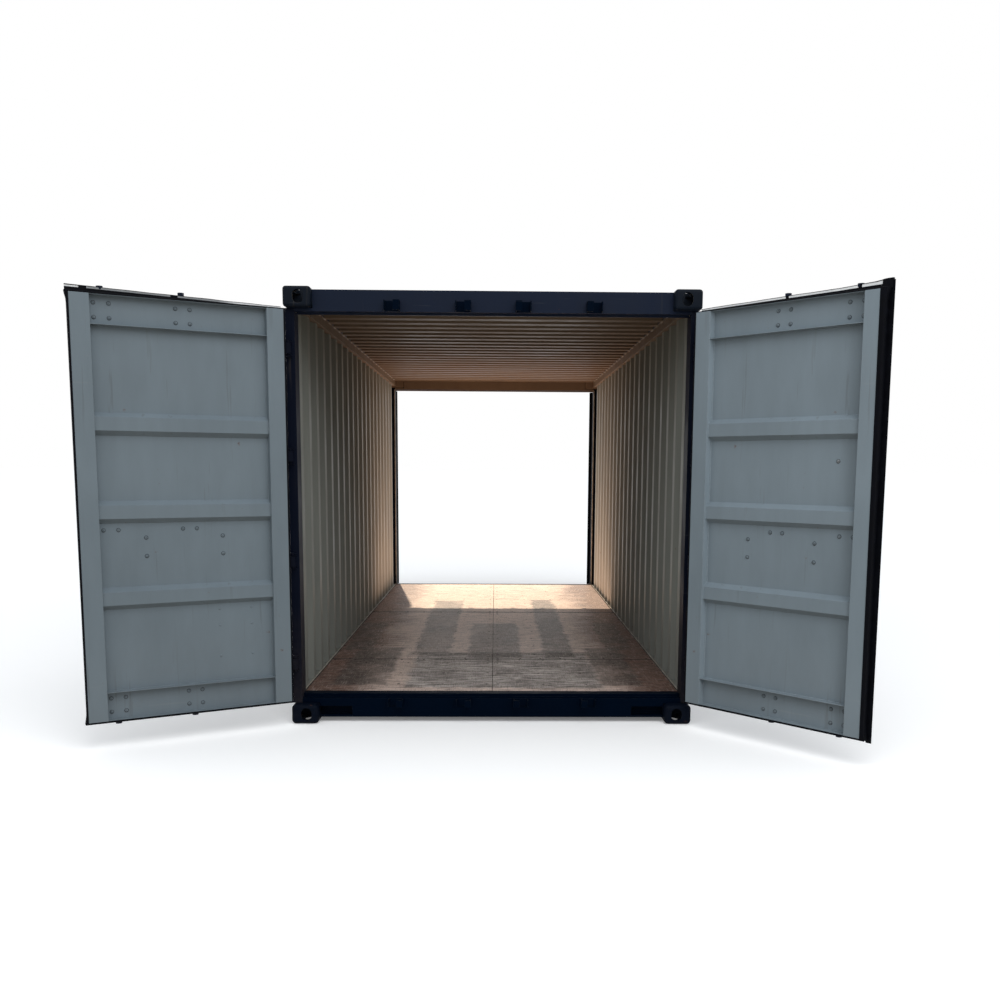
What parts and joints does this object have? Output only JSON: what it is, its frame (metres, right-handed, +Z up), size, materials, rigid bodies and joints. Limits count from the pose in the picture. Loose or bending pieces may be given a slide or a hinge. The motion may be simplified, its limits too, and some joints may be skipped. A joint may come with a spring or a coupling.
{
  "type": "shipping container",
  "caption": "Corrugated steel freight container with hinged double doors at each end, plywood floor, fork pockets and cast corner fittings.",
  "frame": {"origin": "on the ground plane, in the middle of the four bottom corner fittings", "axes": "+X to the right and +Y along the container, seen from the near end; +Z up"},
  "size_m": [4.2065, 8.0575, 2.591],
  "materials": {
    "frame_paint": "worn semi-gloss",
    "wall_paint": "dull, stained",
    "roof_paint": "dull, stained",
    "door_paint": "dull, scuffed",
    "bar_paint": "worn semi-gloss",
    "underbody_paint": "dull coating",
    "plywood": "worn plywood",
    "gasket_rubber": "matte"
  },
  "bodies": {
    "container": {"bottom_corner_fittings": "frame_paint", "top_corner_fittings": "frame_paint", "corner_posts": "frame_paint", "near_header": "frame_paint", "far_header": "frame_paint", "near_sill": "frame_paint", "far_sill": "frame_paint", "left_bottom_rail": "frame_paint", "right_bottom_rail": "frame_paint", "left_top_rail": "frame_paint", "right_top_rail": "frame_paint", "left_side_wall": "wall_paint", "right_side_wall": "wall_paint", "roof_panel": "roof_paint", "roof_corner_plates": "frame_paint", "floor_boards": "plywood", "cross_members": "underbody_paint", "fork_pockets": "underbody_paint", "hinge_brackets": "frame_paint", "cam_keepers": "frame_paint"},
    "near_left_door": {"near_left_door_frame": "door_paint", "near_left_door_panel": "door_paint", "near_left_door_gasket": "gasket_rubber", "near_left_door_ironwork": "bar_paint"},
    "near_left_inner_bar": {"near_left_inner_bar": "bar_paint"},
    "near_left_outer_bar": {"near_left_outer_bar": "bar_paint"},
    "near_right_door": {"near_right_door_frame": "door_paint", "near_right_door_panel": "door_paint", "near_right_door_gasket": "gasket_rubber", "near_right_door_ironwork": "bar_paint"},
    "near_right_inner_bar": {"near_right_inner_bar": "bar_paint"},
    "near_right_outer_bar": {"near_right_outer_bar": "bar_paint"},
    "far_left_door": {"far_left_door_frame": "door_paint", "far_left_door_panel": "door_paint", "far_left_door_gasket": "gasket_rubber", "far_left_door_ironwork": "bar_paint"},
    "far_left_inner_bar": {"far_left_inner_bar": "bar_paint"},
    "far_left_outer_bar": {"far_left_outer_bar": "bar_paint"},
    "far_right_door": {"far_right_door_frame": "door_paint", "far_right_door_panel": "door_paint", "far_right_door_gasket": "gasket_rubber", "far_right_door_ironwork": "bar_paint"},
    "far_right_inner_bar": {"far_right_inner_bar": "bar_paint"},
    "far_right_outer_bar": {"far_right_outer_bar": "bar_paint"}
  },
  "joints": [
    {"name": "near_left_door_hinge", "type": "hinge", "parent": "container", "child": "near_left_door", "pos_m": [-1.196, -3.007, 1.303], "axis": [0, 0, -1], "range_deg": [-152, 109]},
    {"name": "near_left_inner_bar_turn", "type": "hinge", "parent": "near_left_door", "child": "near_left_inner_bar", "pos_m": [-2.08543, -3.48558, 1.303], "axis": [0, 0, -1], "range_deg": [0, 90]},
    {"name": "near_left_outer_bar_turn", "type": "hinge", "parent": "near_left_door", "child": "near_left_outer_bar", "pos_m": [-1.71812, -3.29028, 1.303], "axis": [0, 0, -1], "range_deg": [0, 90]},
    {"name": "near_right_door_hinge", "type": "hinge", "parent": "container", "child": "near_right_door", "pos_m": [1.196, -3.007, 1.303], "axis": [0, 0, 1], "range_deg": [-132.5, 128.5]},
    {"name": "near_right_inner_bar_turn", "type": "hinge", "parent": "near_right_door", "child": "near_right_inner_bar", "pos_m": [1.87466, -3.75503, 1.303], "axis": [0, 0, 1], "range_deg": [0, 90]},
    {"name": "near_right_outer_bar_turn", "type": "hinge", "parent": "near_right_door", "child": "near_right_outer_bar", "pos_m": [1.59361, -3.44832, 1.303], "axis": [0, 0, 1], "range_deg": [0, 90]},
    {"name": "far_left_door_hinge", "type": "hinge", "parent": "container", "child": "far_left_door", "pos_m": [-1.196, 3.007, 1.303], "axis": [0, 0, 1], "range_deg": [-130, 131]},
    {"name": "far_left_inner_bar_turn", "type": "hinge", "parent": "far_left_door", "child": "far_left_inner_bar", "pos_m": [-1.84139, 3.78392, 1.303], "axis": [0, 0, 1], "range_deg": [0, 90]},
    {"name": "far_left_outer_bar_turn", "type": "hinge", "parent": "far_left_door", "child": "far_left_outer_bar", "pos_m": [-1.57399, 3.46524, 1.303], "axis": [0, 0, 1], "range_deg": [0, 90]},
    {"name": "far_right_door_hinge", "type": "hinge", "parent": "container", "child": "far_right_door", "pos_m": [1.196, 3.007, 1.303], "axis": [0, 0, -1], "range_deg": [-112, 149]},
    {"name": "far_right_inner_bar_turn", "type": "hinge", "parent": "far_right_door", "child": "far_right_inner_bar", "pos_m": [1.56972, 3.94533, 1.303], "axis": [0, 0, -1], "range_deg": [0, 90]},
    {"name": "far_right_outer_bar_turn", "type": "hinge", "parent": "far_right_door", "child": "far_right_outer_bar", "pos_m": [1.41388, 3.55962, 1.303], "axis": [0, 0, -1], "range_deg": [0, 90]}
  ]
}
